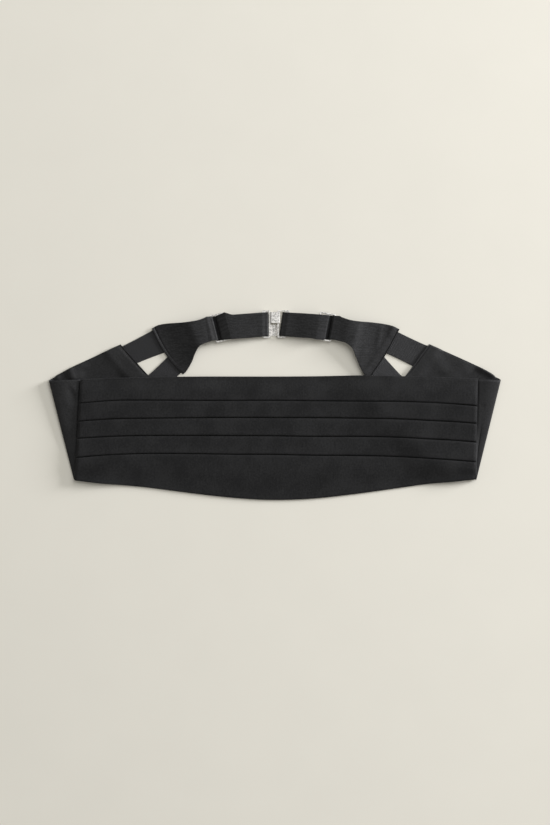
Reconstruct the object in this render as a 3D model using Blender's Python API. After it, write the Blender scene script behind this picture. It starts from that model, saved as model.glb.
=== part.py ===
"""A satin cummerbund laid flat, pleated front up, wings turned under, back band above the front.

Frame: +X to the garment's right as seen from above, +Y towards the back band, +Z up.
The origin is on the surface that the garment lies on, under the middle of its outline.
All sizes are in millimetres and become metres when a mesh is made.
"""
import math

import bmesh
import bpy
from mathutils import Matrix, Vector

MM = 0.001

# Driving dimensions.
GAP = 0.3                # clearance between pieces that touch
CLOTH = 1.0              # wall of every cloth piece
LAYER = CLOTH + GAP      # rise from one cloth layer to the next
PLEAT_DEPTH = 9.0        # how far each pleat tucks under its neighbour
HEM_TURN = 8.0           # turned edge along the top and bottom of the front
RAMP = 4.0               # run over which a band dips in front of the next pleat
CROWN = 15.0             # distance from the top edge where the top band has its full height
WING_FOLD_RADIUS = (0.55, 2.7)   # at the fold's lower end and at its upper end
SEAM_HEIGHTS = (2.6, 1.6)   # middle of the wing's wall at the seam's upper end and at its lower end
STRAP_WIDTH = 24.6
BAR_SIDE = 1.6           # square bars of the slider
BAR_PITCH = 7.6
SLIDER_HEIGHT = 29.2
CLASP_PLATE = 1.4
LOOP_RADIUS = 1.6        # middle of the strap's wall round the clasp's bar
BAR_WRAP = 1.75          # middle of the strap's wall round a slider bar
TAIL_ANGLE = -150        # where the strap's sewn end stops under the slider's middle bar
CLASP_NARROWING = 0.4    # how much narrower the strap is in the clasp
NARROWING_RUN = (4.0, 20.0)
SLANT_RUN = (4.0, 26.0)  # distances from the clasp between which the loop's end loses its slant
BUMP_CENTER = 5.0        # from the slider's middle bar: where the strap's top layer sticks out
BUMP_REACH = 9.0
SLIDER_EDGE = 0.4        # chamfer along the slider's edges

# How finely the walls are modelled.
FRONT_STEPS = 26         # stretches between the sections of the front
WING_COLUMNS = 8         # stretches across a wing
TAB_COLUMNS = 4          # stretches across a tab and its strap
WING_STEPS = {"seam": 4, "bend": 6, "hem": 10}   # stretches along it, before, round and past the fold

# The front panel: where the top edge, the four pleat folds and the bottom edge cross each section.
FRONT_COLUMNS = ("x", "top", "fold 1", "fold 2", "fold 3", "fold 4", "bottom")
FRONT_SECTIONS = (
    (-197.4, 25.6, 1.4, -16.6, -33.6, -52.8, -74.3),
    (-174.9, 26.8, 3.3, -14.9, -32.3, -50.8, -77.2),
    (-154.9, 27.4, 4.3, -14.0, -31.4, -49.6, -78.7),
    (-124.9, 28.2, 4.4, -13.6, -30.9, -48.8, -81.5),
    (-74.9, 28.7, 4.1, -13.1, -30.9, -49.1, -87.9),
    (-34.9, 28.7, 4.1, -12.9, -31.0, -49.7, -92.1),
    (0.1, 28.7, 4.2, -13.0, -31.2, -49.8, -93.9),
    (40.1, 29.0, 3.8, -13.1, -31.8, -50.6, -92.5),
    (85.1, 29.8, 3.4, -13.6, -31.8, -50.9, -87.5),
    (125.1, 29.0, 3.1, -14.4, -32.6, -51.9, -81.9),
    (155.1, 28.1, 2.1, -15.9, -34.3, -53.6, -77.8),
    (180.1, 27.2, 0.6, -17.1, -35.6, -55.3, -75.7),
    (201.1, 26.6, -1.1, -18.7, -37.4, -57.0, -73.2),
)
FRONT_END_X = {"left": (-194.7, -199.3), "right": (202.1, 200.6)}   # at the top and at the bottom
FRONT_END_Y = (26.0, -74.0)
# How high the front lies: on the surface in the middle, on the wings and elastics at its sides.
# The columns are the distance from the middle and the height. Below the wing's lower edge the
# front comes back down to the surface, between the two distances of REST_FADE.
REST_LEVELS = ((0.0, 0.0), (52.0, 0.0), (90.0, 2.6), (148.0, 2.6), (176.0, 1.3), (230.0, 1.3))
REST_FADE = (16.0, 38.0)

# The wings as they lie: the ends of the outer fold line and of the seam, and the hem's corners.
WINGS = {
    "left": {"fold_top": (-226.0, 25.6), "fold_bottom": (-200.9, -73.9),
             "hem_top": (-155.2, 61.1), "hem_bottom": (-108.9, 9.6)},
    "right": {"fold_top": (225.8, 25.6), "fold_bottom": (202.4, -73.2),
              "hem_top": (154.5, 61.1), "hem_bottom": (114.6, 7.1)},
}
WING_LIFT_RUN = (9.0, 18.0)     # distance from the hem where the wing has risen onto the elastics
CORNER_DIP = 2.2                # how far the fold's upper corner is rounded down
CORNER_REACH = 8.0              # over this distance from the middle of the bend

# The elastics' corners, tucked under the wing and under the tab.
ELASTICS = {
    "elastic_upper_left": ((-160.5, 55.4), (-116.9, 78.3), (-106.2, 54.4), (-144.4, 39.5)),
    "elastic_lower_left": ((-133.6, 24.0), (-104.5, 51.5), (-90.4, 35.7), (-120.7, 7.0)),
    "elastic_upper_right": ((160.3, 56.4), (117.8, 76.2), (108.3, 53.7), (144.3, 35.9)),
    "elastic_lower_right": ((134.2, 22.1), (106.1, 52.4), (93.5, 34.6), (121.9, 3.7)),
}

# The shaped tabs: sections from the wide edge to where the strap begins. The columns are
# top x, top y, bottom x, bottom y, how high the section lies at its top and at its bottom, and
# how far its middle bows out towards the wing.
TABS = {
    "left": (
        (-122.8, 77.0, -92.0, 31.1, 1.8, 1.8, 3.0),
        (-117.0, 80.2, -88.5, 34.2, 1.8, 2.0, 2.0),
        (-108.1, 81.9, -83.1, 43.1, 2.7, 3.6, 0.8),
        (-94.9, 82.7, -79.5, 52.0, 5.2, 5.6, 0.0),
        (-84.9, 83.7, -75.1, 59.2, 7.4, 7.2, 0.0),
        (-75.9, 85.4, -69.9, 62.1, 7.3, 6.9, 0.0),
        (-69.3, 87.9, -66.0, 63.4, 6.4, 6.2, 0.0),
    ),
    "right": (
        (124.4, 76.4, 94.6, 27.1, 1.8, 1.8, 0.0),
        (117.0, 79.7, 90.0, 29.9, 1.8, 1.8, 0.0),
        (107.0, 81.8, 85.4, 37.5, 2.2, 3.8, 0.0),
        (94.1, 83.3, 80.4, 49.6, 4.0, 6.2, 0.0),
        (84.0, 84.0, 77.0, 57.3, 6.2, 7.6, 0.0),
        (75.0, 85.4, 70.6, 62.4, 7.4, 7.6, 0.0),
        (66.9, 88.1, 64.9, 64.2, 6.5, 6.7, 0.0),
    ),
}
# Each strap loop: its end at the clasp, how it drops away from the clasp, the slider's distance
# from that end, the slant of the loop's end against the strap in mm across per mm of width, and
# how far the top layer sticks out beside the slider, at its upper edge and at its lower edge.
STRAPS = {
    "left": {"end": (-6.25, 81.4), "drop": 4.6, "slider": 46.9, "slant": -0.080,
             "bump": 3.0, "sag": 0.0},
    "right": {"end": (6.5, 81.5), "drop": 4.1, "slider": 45.4, "slant": 0.085,
              "bump": 0.0, "sag": 1.5},
}


def principled(name, color, roughness, metallic=0.0):
    material = bpy.data.materials.new(name)
    material.use_nodes = True
    shader = material.node_tree.nodes["Principled BSDF"]
    shader.inputs["Base Color"].default_value = (*color, 1.0)
    shader.inputs["Roughness"].default_value = roughness
    shader.inputs["Metallic"].default_value = metallic
    return material


def smoothstep(value, start, end):
    t = min(max((value - start) / (end - start), 0.0), 1.0)
    return t * t * (3.0 - 2.0 * t)


def lerp(a, b, t):
    return a + (b - a) * t


def read_table(rows, x, column):
    """A smooth curve through one column of a table whose first column is the position."""
    last = len(rows) - 1
    i = max(j for j in range(last) if j == 0 or rows[j][0] <= x)
    x0, x1 = rows[i][0], rows[i + 1][0]
    y0, y1 = rows[i][column], rows[i + 1][column]

    def slope(j):
        a, b = max(j - 1, 0), min(j + 1, last)
        return (rows[b][column] - rows[a][column]) / (rows[b][0] - rows[a][0])

    t = (x - x0) / (x1 - x0)
    run = x1 - x0
    return ((2 * t**3 - 3 * t**2 + 1) * y0 + (t**3 - 2 * t**2 + t) * run * slope(i)
            + (3 * t**2 - 2 * t**3) * y1 + (t**3 - t**2) * run * slope(i + 1))


def add_object(name, mesh, material):
    mesh.materials.append(material)
    piece = bpy.data.objects.new(name, mesh)
    bpy.context.scene.collection.objects.link(piece)
    return piece


def grid_normals(rows):
    """Upward normals of a grid of points, from the neighbours of each."""
    normals = []
    for i, row in enumerate(rows):
        line = []
        for j in range(len(row)):
            along = rows[min(i + 1, len(rows) - 1)][j] - rows[max(i - 1, 0)][j]
            across = row[min(j + 1, len(row) - 1)] - row[max(j - 1, 0)]
            line.append(along.cross(across).normalized())
        normals.append(line)
    return normals


def wall(name, rows, material, normals=None, thickness=CLOTH):
    """A closed cloth wall round a grid of middle points, given in millimetres."""
    normals = normals or grid_normals(rows)
    mesh = bmesh.new()
    half = thickness / 2
    sides = []
    for sign in (1, -1):
        sides.append([[mesh.verts.new((point + normal * half * sign) * MM)
                       for point, normal in zip(row, line)] for row, line in zip(rows, normals)])
    upper, lower = sides
    last_row, last_column = len(rows) - 1, len(rows[0]) - 1
    for i in range(last_row):
        for j in range(last_column):
            mesh.faces.new((upper[i][j], upper[i + 1][j], upper[i + 1][j + 1], upper[i][j + 1]))
            mesh.faces.new((lower[i][j], lower[i][j + 1], lower[i + 1][j + 1], lower[i + 1][j]))
    for i in range(last_row):
        for j, step in ((0, 1), (last_column, -1)):
            a, b = (i, i + 1)[::step]
            mesh.faces.new((upper[a][j], lower[a][j], lower[b][j], upper[b][j]))
    for j in range(last_column):
        for i, step in ((0, -1), (last_row, 1)):
            a, b = (j, j + 1)[::step]
            mesh.faces.new((upper[i][a], lower[i][a], lower[i][b], upper[i][b]))
    bmesh.ops.recalc_face_normals(mesh, faces=mesh.faces)
    data = bpy.data.meshes.new(name)
    mesh.to_mesh(data)
    mesh.free()
    data.shade_smooth()
    data.set_sharp_from_angle(angle=math.radians(50))
    return add_object(name, data, material)


def arc(center, radius, start, end, steps):
    """Points on an arc in a plane, with the unit vectors that point away from its centre."""
    found = []
    for k in range(steps + 1):
        angle = math.radians(lerp(start, end, k / steps))
        away = (math.cos(angle), math.sin(angle))
        found.append((center[0] + radius * away[0], center[1] + radius * away[1], *away))
    return found


# ---- the pleated front panel ----------------------------------------------------------------

def front_profile(edges):
    """One section of the front, from its turned top edge down to its turned bottom edge.

    Each entry is (y, z, normal y, normal z). Layers are numbered up from the surface: a band
    shows on layer 2 and dips to layer 0 under the next pleat, whose return is layer 1.
    """
    top, bottom = edges[0], edges[-1]
    radius = LAYER / 2
    floor = CLOTH / 2

    def flat(y, layer, up):
        return (y, floor + layer * LAYER, 0.0, up)

    def ramp(y_from, y_to, layer_from, layer_to):
        return eased(y_from, y_to, floor + layer_from * LAYER, floor + layer_to * LAYER, 3)

    # The turned top edge: raw edge under the band, then round the fold and back down the panel.
    path = [flat(top - HEM_TURN, 0, -1.0)]
    path += arc((top - radius, floor + radius), radius, -90, 90, 4)
    path += ramp(top - 1.0, top - CROWN, 1, 2)
    for fold in edges[1:-1]:
        tuck = fold - PLEAT_DEPTH
        # The band above dips to layer 0 in front of the fold and passes under it.
        path += ramp(fold + 0.5 + RAMP, fold + 0.5, 2, 0)
        # Under: the hidden fold, then up the panel on layer 1, its face turned down.
        path += [(y, z, -ny, -nz) for y, z, ny, nz in
                 arc((tuck + radius, floor + radius), radius, 270, 90, 3)]
        # Over: the pleat's own edge, then down the panel on layer 2.
        path += arc((fold - radius, floor + 3 * radius), radius, -90, 90, 4)
    # The lowest band lies on its own turned edge, which reaches up to the last pleat.
    start = tuck - 1.0
    path += ramp(start, start - RAMP, 2, 1)
    path += arc((bottom + radius, floor + radius), radius, 90, 270, 4)
    path += [flat(start - 2.0, 0, -1.0)]
    return path


def make_front(material):
    rows, normals = [], []
    first, last = FRONT_SECTIONS[0][0], FRONT_SECTIONS[-1][0]
    for k in range(FRONT_STEPS + 1):
        u = k / FRONT_STEPS
        nominal = lerp(first, last, u)
        edges = [read_table(FRONT_SECTIONS, nominal, c) for c in range(1, len(FRONT_COLUMNS))]
        row, line = [], []
        for y, z, ny, nz in front_profile(edges):
            x = lerp(front_end("left", y), front_end("right", y), u)
            row.append(Vector((x, y, z + rest_level(x, y))))
            line.append(Vector((0.0, ny, nz)))
        rows.append(row)
        normals.append(line)
    return wall("front_panel", rows, material, normals)


def front_end(side, y):
    """Where the front's slanting end lies at the height y on the panel."""
    top_x, bottom_x = FRONT_END_X[side]
    return lerp(top_x, bottom_x, (FRONT_END_Y[0] - y) / (FRONT_END_Y[0] - FRONT_END_Y[1]))


def rest_level(x, y):
    """How high the front's underside lies."""
    distance = abs(x)
    level = next(lerp(low, high, smoothstep(distance, near, far))
                 for (near, low), (far, high) in zip(REST_LEVELS, REST_LEVELS[1:]) if distance <= far)
    layout = WINGS["left" if x < 0 else "right"]
    start, end = layout["fold_bottom"], layout["hem_bottom"]
    wing_edge = lerp(start[1], end[1], (x - start[0]) / (end[0] - start[0]))
    return level * (1.0 - smoothstep(wing_edge - y, *REST_FADE))


# ---- the wings ------------------------------------------------------------------------------

class WingFold:
    """Turns a point of the wing's flat cut into its place on the folded wing.

    The wing bends round a narrow cone along the fold line: distance is measured from the line
    where the bend starts, positive on the side of the seam.
    """

    def __init__(self, fold_top, fold_bottom, inward):
        self.bottom = Vector(fold_bottom)
        line = Vector(fold_top) - self.bottom
        self.length = line.length
        self.along = line.normalized()
        self.inward = Vector((self.along.y, -self.along.x))
        if self.inward.x * inward < 0:
            self.inward.negate()

    def radius(self, height):
        low, high = WING_FOLD_RADIUS
        return lerp(low, high, min(max(height / self.length, 0.0), 1.0))

    def split(self, point):
        """Height along the fold line, and distance from where the bend starts."""
        offset = Vector(point) - self.bottom
        height = offset.dot(self.along)
        return height, offset.dot(self.inward) - self.radius(height) - CLOTH / 2

    def join(self, height, distance, z):
        reach = distance + self.radius(height) + CLOTH / 2
        flat = self.bottom + self.along * height + self.inward * reach
        return Vector((flat.x, flat.y, z))

    def unfold(self, point):
        """The place in the flat cut of a point that lies on the lower layer."""
        height, distance = self.split(point)
        return self.join(height, -distance - math.pi * self.radius(height), 0.0).xy

    def fold(self, point, dip):
        """The point's place once folded; dip lowers the fold's corner in the middle of the bend."""
        height, distance = self.split(point)
        radius = self.radius(height)
        from_middle = abs(distance + math.pi * radius / 2)
        height -= dip * (1.0 - smoothstep(from_middle, 0.0, CORNER_REACH))
        if distance >= 0:
            return self.join(height, distance, CLOTH / 2 + 2 * radius)
        turned = -distance / radius
        if turned <= math.pi:
            z = CLOTH / 2 + radius + radius * math.cos(turned)
            return self.join(height, -radius * math.sin(turned), z)
        return self.join(height, -distance - math.pi * radius, CLOTH / 2)


def wing_grid(side):
    """Middle points of a wing: rows run across it, from the seam to the hem."""
    layout = WINGS[side]
    inward = 1 if side == "left" else -1
    turn = WingFold(layout["fold_top"], layout["fold_bottom"], inward)
    hem = [turn.unfold(layout[corner]) for corner in ("hem_top", "hem_bottom")]
    seam = [Vector((front_end(side, y) - inward * GAP, y)) for y in FRONT_END_Y]
    before, round_it, past = WING_STEPS["seam"], WING_STEPS["bend"], WING_STEPS["hem"]
    columns = []
    for j in range(WING_COLUMNS + 1):
        v = j / WING_COLUMNS
        start, end = seam[0].lerp(seam[1], v), hem[0].lerp(hem[1], v)
        height_a, a = turn.split(start)
        height_b, b = turn.split(end)
        bend = turn.radius(lerp(height_a, height_b, a / (a - b)))
        begin, finish = a / (a - b), (a + math.pi * bend) / (a - b)
        seam_height = lerp(*SEAM_HEIGHTS, v)
        stops = [begin * k / before for k in range(before)]
        stops += [lerp(begin, finish, k / round_it) for k in range(round_it + 1)]
        stops += [lerp(finish, 1.0, k / past) for k in range(1, past + 1)]
        column = []
        for t in stops:
            point = turn.fold(start.lerp(end, t), CORNER_DIP * (1.0 - v) ** 8)
            if t < begin:
                point.z = lerp(seam_height, point.z, smoothstep(t, 0.0, begin))
            from_hem = (1.0 - t) * (end - start).length
            if t > finish:
                point.z += LAYER * (1.0 - smoothstep(from_hem, *WING_LIFT_RUN))
            column.append(point)
        columns.append(column)
    return [list(row) for row in zip(*columns)]


def make_wing(side, material):
    return wall("wing_" + side, wing_grid(side), material)


# ---- the elastics ---------------------------------------------------------------------------

def make_elastic(name, corners, material):
    wing_top, tab_top, tab_bottom, wing_bottom = (Vector((*c, CLOTH / 2)) for c in corners)
    rows = [[wing_top.lerp(tab_top, u), wing_bottom.lerp(tab_bottom, u)] for u in (0.0, 0.5, 1.0)]
    return wall(name, rows, material)


# ---- the tabs, straps, sliders and clasp ----------------------------------------------------

class StrapFrame:
    """Places points given along a strap (from the clasp), across it and up."""

    def __init__(self, side):
        facts = STRAPS[side]
        outward = -1 if side == "left" else 1
        drop = math.radians(facts["drop"])
        self.end = Vector(facts["end"])
        self.along = Vector((outward * math.cos(drop), -math.sin(drop)))
        self.across = Vector((outward * math.sin(drop), math.cos(drop)))
        self.slant = facts["slant"]
        self.slider = facts["slider"]
        self.bump, self.sag = facts["bump"], facts["sag"]

    def place(self, along, across, z):
        slant = self.slant * across * (1.0 - smoothstep(along, *SLANT_RUN))
        spot = self.end + self.along * (along + slant) + self.across * across
        return Vector((spot.x, spot.y, z))


SLIDER_Z = CLOTH / 2 + BAR_WRAP + LAYER
LOOP_Z = CLOTH / 2 + LOOP_RADIUS
# Where the strap leaves one bar for the next, as an angle from the line between the bars.
WEAVE_ANGLE = math.degrees(math.acos((2 * BAR_WRAP + LAYER) / BAR_PITCH))


def strap_path(slider):
    """The strap's middle line in the plane along it and up: (along, z, normal along, normal z).

    It comes from the tab over the slider's outer bar, under the middle bar and over the inner
    bar, runs to the clasp's bar, turns back on top of itself and ends round the middle bar.
    """
    outer, inner = slider + BAR_PITCH, slider - BAR_PITCH
    double_wrap = BAR_WRAP + LAYER
    rise = math.degrees(math.asin(LAYER / BAR_PITCH))
    turn_at = LOOP_RADIUS + CLOTH / 2
    lower_ends, upper_starts = turn_at + 3.0, turn_at + 3.0
    path = arc((outer, SLIDER_Z), BAR_WRAP, 60, 180, 5)
    path += flipped(arc((outer - BAR_WRAP - double_wrap, SLIDER_Z), double_wrap, 0, -90, 4)[1:])
    path += flipped(arc((slider, SLIDER_Z), double_wrap, -90, -180 + WEAVE_ANGLE, 3))
    path += arc((inner, SLIDER_Z), BAR_WRAP, WEAVE_ANGLE, 90, 3)
    path += eased(inner, lower_ends, SLIDER_Z + BAR_WRAP, CLOTH / 2, 6)[1:]
    path += flipped(arc((turn_at, LOOP_Z), LOOP_RADIUS, 270, 90, 6))
    path += flipped(eased(upper_starts, inner, LOOP_Z + LOOP_RADIUS, SLIDER_Z + double_wrap, 6)[:-1])
    path += flipped(arc((inner, SLIDER_Z), double_wrap, 90, 90 - rise, 1))
    path += flipped(arc((slider, SLIDER_Z), BAR_WRAP, 90 - rise, TAIL_ANGLE, 6))
    return path


def flipped(points):
    """The same points with their normals turned round."""
    return [(along, z, -n_along, -n_up) for along, z, n_along, n_up in points]


def eased(start, end, z_start, z_end, steps):
    """Points on a soft step between two heights, with their upward normals."""
    points = []
    for k in range(steps + 1):
        t = k / steps
        height = lerp(z_start, z_end, t * t * (3 - 2 * t))
        fall = (z_end - z_start) * 6 * t * (1 - t) / (end - start)
        size = math.hypot(1.0, fall)
        points.append((lerp(start, end, t), height, -fall / size, 1.0 / size))
    return points


def make_tab(side, material):
    """The shaped tab and its strap, as one wall: rows run across it, from the wide edge on."""
    frame = StrapFrame(side)
    rows = []
    outward = -1 if side == "left" else 1
    shares = [j / TAB_COLUMNS for j in range(TAB_COLUMNS + 1)]
    for top_x, top_y, bottom_x, bottom_y, top_z, bottom_z, bow in TABS[side]:
        top, bottom = Vector((top_x, top_y, top_z)), Vector((bottom_x, bottom_y, bottom_z))
        out = Vector((top_y - bottom_y, bottom_x - top_x, 0.0)).normalized()
        if out.x * outward < 0:
            out.negate()
        rows.append([top.lerp(bottom, v) + out * bow * math.sin(math.pi * v) for v in shares])
    normals = grid_normals(rows)
    if normals[0][0].z < 0:
        normals = [[-normal for normal in line] for line in normals]
    path = strap_path(frame.slider)
    turned_back = next(i for i, (along, *_) in enumerate(path) if along < LOOP_RADIUS)
    for i, (along, z, n_along, n_up) in enumerate(path):
        half = (STRAP_WIDTH - CLASP_NARROWING * (1.0 - smoothstep(along, *NARROWING_RUN))) / 2
        on_top = i > turned_back and z > SLIDER_Z + BAR_WRAP - GAP
        away = abs(along - frame.slider + BUMP_CENTER)
        share = 1.0 - smoothstep(away, 0.0, BUMP_REACH) if on_top else 0.0
        top, bottom = half + frame.bump * share, -half - frame.sag * share
        rows.append([frame.place(along, lerp(top, bottom, v), z) for v in shares])
        flat = frame.along * n_along
        normals.append([Vector((flat.x, flat.y, n_up))] * len(shares))
    return wall("tab_" + side, rows, material, normals)


def box_mesh(name, size, center, bevel=0.0):
    mesh = bmesh.new()
    bmesh.ops.create_cube(mesh, size=1.0)
    bmesh.ops.scale(mesh, vec=Vector(size) * MM, verts=mesh.verts)
    if bevel:
        bmesh.ops.bevel(mesh, geom=mesh.edges[:], offset=bevel * MM, segments=1,
                        affect="EDGES", profile=0.5)
    bmesh.ops.translate(mesh, vec=Vector(center) * MM, verts=mesh.verts)
    data = bpy.data.meshes.new(name)
    mesh.to_mesh(data)
    mesh.free()
    return data


def cut(piece, cutter, operation="DIFFERENCE"):
    cutter.hide_render = True
    cutter.display_type = "WIRE"
    modifier = piece.modifiers.new(operation.title() + " " + cutter.name, "BOOLEAN")
    modifier.operation = operation
    modifier.solver = "EXACT"
    modifier.object = cutter


def make_slider(side, material):
    """A flat frame with two windows, which leave its three bars."""
    frame = StrapFrame(side)
    length = 2 * BAR_PITCH + BAR_SIDE
    piece = add_object("slider_" + side, box_mesh("slider_" + side,
                       (length, SLIDER_HEIGHT, BAR_SIDE), (0, 0, 0), SLIDER_EDGE), material)
    window = (BAR_PITCH - BAR_SIDE, SLIDER_HEIGHT - 2 * BAR_SIDE, 2 * BAR_SIDE)
    for number, shift in enumerate((-0.5, 0.5)):
        name = f"slider_window_{side}_{number}"
        cutter = add_object(name, box_mesh(name, window, (shift * BAR_PITCH, 0, 0)), material)
        cutter.parent = piece
        cut(piece, cutter)
    spot = frame.place(frame.slider, 0.0, SLIDER_Z)
    turn = math.atan2(frame.along.y, frame.along.x)
    piece.matrix_world = Matrix.Translation(spot * MM) @ Matrix.Rotation(turn, 4, "Z")
    return piece


def plate(name, outline, low, high, material):
    """A flat plate from its outline in millimetres, given counterclockwise."""
    mesh = bmesh.new()
    ring = [mesh.verts.new(Vector((x, y, low)) * MM) for x, y in outline]
    base = mesh.faces.new(ring)
    made = bmesh.ops.extrude_face_region(mesh, geom=[base])
    moved = [v for v in made["geom"] if isinstance(v, bmesh.types.BMVert)]
    bmesh.ops.translate(mesh, vec=(0, 0, (high - low) * MM), verts=moved)
    bmesh.ops.recalc_face_normals(mesh, faces=mesh.faces)
    data = bpy.data.meshes.new(name)
    mesh.to_mesh(data)
    mesh.free()
    return add_object(name, data, material)


TONGUE_PLATE = 1.0
# Each clasp half: its frame, and the slot that its strap loops through, as corners x, y.
CLASP_OUTLINE = {
    "left": {"frame": ((-12.6, 67.7), (-4.4, 67.7), (-4.4, 95.1), (-12.6, 95.1)),
             "slot": ((-8.6, 68.9), (-6.0, 68.9), (-6.0, 93.9), (-8.6, 93.9))},
    "right": {"frame": ((2.5, 67.8), (11.0, 67.8), (14.9, 95.2), (2.5, 95.2)),
              "slot": ((4.2, 69.0), (7.2, 69.0), (10.9, 94.0), (4.2, 94.0))},
}
# Each half's tongue: its edges in y, and its middle line in x and z from its own inner bar. The
# left one hooks over the other half's inner bar and the right one lies under the left half's.
OVER_BAR = LOOP_Z + CLASP_PLATE + GAP
UNDER_BAR = LOOP_Z - CLASP_PLATE - GAP
TONGUES = {
    "left": {"y": (82.5, 93.3), "path": ((-5.2, LOOP_Z), (-4.0, LOOP_Z), (-2.2, OVER_BAR),
                                         (4.2, OVER_BAR), (5.1, OVER_BAR - 0.5))},
    "right": {"y": (69.6, 80.7), "path": ((3.4, LOOP_Z), (2.3, LOOP_Z), (0.6, UNDER_BAR),
                                          (-5.6, UNDER_BAR))},
}


def make_clasp(side, material):
    """A stamped half: a frame round the strap's slot, and a tongue that hooks the other half."""
    low, high = LOOP_Z - CLASP_PLATE / 2, LOOP_Z + CLASP_PLATE / 2
    outline, tongue = CLASP_OUTLINE[side], TONGUES[side]
    piece = plate("clasp_" + side, outline["frame"], low, high, material)
    cut(piece, plate(f"clasp_slot_{side}", outline["slot"], low - 1.0, high + 1.0, material))
    strip = [[Vector((x, y, z)) for y in tongue["y"]] for x, z in tongue["path"]]
    cut(piece, wall(f"clasp_tongue_{side}", strip, material, thickness=TONGUE_PLATE), "UNION")
    return piece


def main():
    for piece in list(bpy.data.objects):
        bpy.data.objects.remove(piece, do_unlink=True)
    satin = principled("satin", (0.022, 0.022, 0.024), 0.5)
    panel = principled("panel_satin", (0.025, 0.025, 0.027), 0.5)
    webbing = principled("elastic", (0.030, 0.030, 0.032), 0.8)
    steel = principled("steel", (0.72, 0.71, 0.69), 0.3, 1.0)
    make_front(panel)
    for side in ("left", "right"):
        make_wing(side, satin)
        make_tab(side, satin)
        make_slider(side, steel)
        make_clasp(side, steel)
    for name, corners in ELASTICS.items():
        make_elastic(name, corners, webbing)


main()
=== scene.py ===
"""A black satin cummerbund laid flat: pleated front, wings turned under, elastics, straps and clasp.

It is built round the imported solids, in their frame: +X to the right as the camera sees it, +Y up
the picture and +Z towards the camera. Sizes are in millimetres and become metres in each mesh.
"""
import math

import bmesh
import bpy
from mathutils import Matrix, Vector, noise


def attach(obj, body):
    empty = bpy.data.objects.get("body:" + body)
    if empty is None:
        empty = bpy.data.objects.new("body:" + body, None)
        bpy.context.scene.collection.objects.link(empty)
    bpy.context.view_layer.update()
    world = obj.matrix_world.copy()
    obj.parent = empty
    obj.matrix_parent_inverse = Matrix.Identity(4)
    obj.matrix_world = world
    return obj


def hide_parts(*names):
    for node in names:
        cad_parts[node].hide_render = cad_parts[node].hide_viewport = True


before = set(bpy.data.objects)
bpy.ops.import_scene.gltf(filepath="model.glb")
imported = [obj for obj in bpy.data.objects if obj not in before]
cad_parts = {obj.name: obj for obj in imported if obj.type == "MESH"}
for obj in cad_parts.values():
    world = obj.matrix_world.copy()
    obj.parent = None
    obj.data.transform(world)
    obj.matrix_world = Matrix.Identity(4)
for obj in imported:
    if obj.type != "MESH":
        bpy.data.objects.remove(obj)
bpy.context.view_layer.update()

MM = 0.001
TO_MM = (1000.0, 1000.0, 1000.0)
ROOT = "root"
OUTWARD = {"left": -1, "right": 1}  # along X
NEAR = 0.01

# Driving dimensions, in the part's frame.
GAP = 0.3  # clearance between pieces that touch
CLOTH = 1.0  # thickness of a layer, from which the heights are worked out
LAYER = CLOTH + GAP  # rise from one cloth layer to the next
LAST_TUCK = 9.0  # how far the lowest pleat tucks under its neighbour
TUCK_STOP = 3.0  # how far above the next fold the other tucks and the top edge stop
TUCK_SETTLE = 4.0  # run over which a tuck comes down to the floor's layer
HEM_REST = 6.0  # distance from the top edge where its turned edge is down
WING_FOLD_RADIUS = (0.55, 2.7)  # at the fold's bottom and top
SEAM_HEIGHTS = {"left": (4.0, 2.8), "right": (4.8, 3.4)}  # of the wings, at top and bottom
STRAP_WIDTH = 24.2
BAR_SIDE = 1.6
BAR_PITCH = 7.6
SLIDER_HEIGHT = 28.2
SLIDER_OFFSET = 0.5  # how far it sits above the strap's middle line
CLASP_PLATE = 1.4
LOOP_RADIUS = 1.6
BAR_WRAP = 1.75  # radius of the strap's way round a bar
TAIL_ANGLE = -150  # where the sewn end stops round the middle bar, in degrees
CLASP_NARROWING = 0.4  # how much narrower the strap is at the clasp
# Distances from the clasp over which that and the slant fade and the slider's tilt sets in.
NARROWING_RUN = (4.0, 20.0)
SLANT_RUN = (4.0, 26.0)
TILT_RUN = (22.0, 36.0)
BUMP_CENTER = {"left": 6.4, "right": 3.4}  # how far before the slider the strap is widest
BUMP_REACH = 9.0
REST_FADE = (15.0, 62.0)  # from a wing's edge, where the front comes down
WING_LIFT_RUN = {"left": (14.5, 23.5), "right": (9.0, 18.0)}  # from the hem, where its lift fades
CORNER_DIP = {"left": 0.2, "right": 0.1}  # how far the top of a wing's fold dips
CORNER_REACH = 8.0

# The front: where its top edge, pleat folds and bottom edge cross each section.
FRONT_SECTIONS = (
    (-197.4, 25.6, 1.4, -16.6, -33.6, -52.8, -74.3),
    (-174.9, 26.8, 3.3, -14.9, -32.3, -50.8, -77.2),
    (-154.9, 27.4, 4.3, -14.0, -31.4, -49.6, -78.7),
    (-124.9, 28.2, 4.4, -13.6, -30.9, -48.8, -81.5),
    (-74.9, 28.7, 4.1, -13.1, -30.9, -49.1, -87.9),
    (-34.9, 28.7, 4.1, -12.9, -31.0, -49.7, -92.1),
    (0.1, 28.7, 4.2, -13.0, -31.2, -49.8, -93.9),
    (40.1, 29.0, 3.8, -13.1, -31.8, -50.6, -92.5),
    (85.1, 29.8, 3.4, -13.6, -31.8, -50.9, -87.5),
    (125.1, 29.0, 3.1, -14.4, -32.6, -51.9, -81.9),
    (155.1, 28.1, 2.1, -15.9, -34.3, -53.6, -77.8),
    (180.1, 27.2, 0.6, -17.1, -35.6, -55.3, -75.7),
    (201.1, 26.6, -1.1, -18.7, -37.4, -57.0, -73.2),
)
FRONT_END_X = {"left": (-193.9, -199.3), "right": (202.1, 200.0)}
FRONT_END_Y = (26.0, -74.0)
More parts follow.
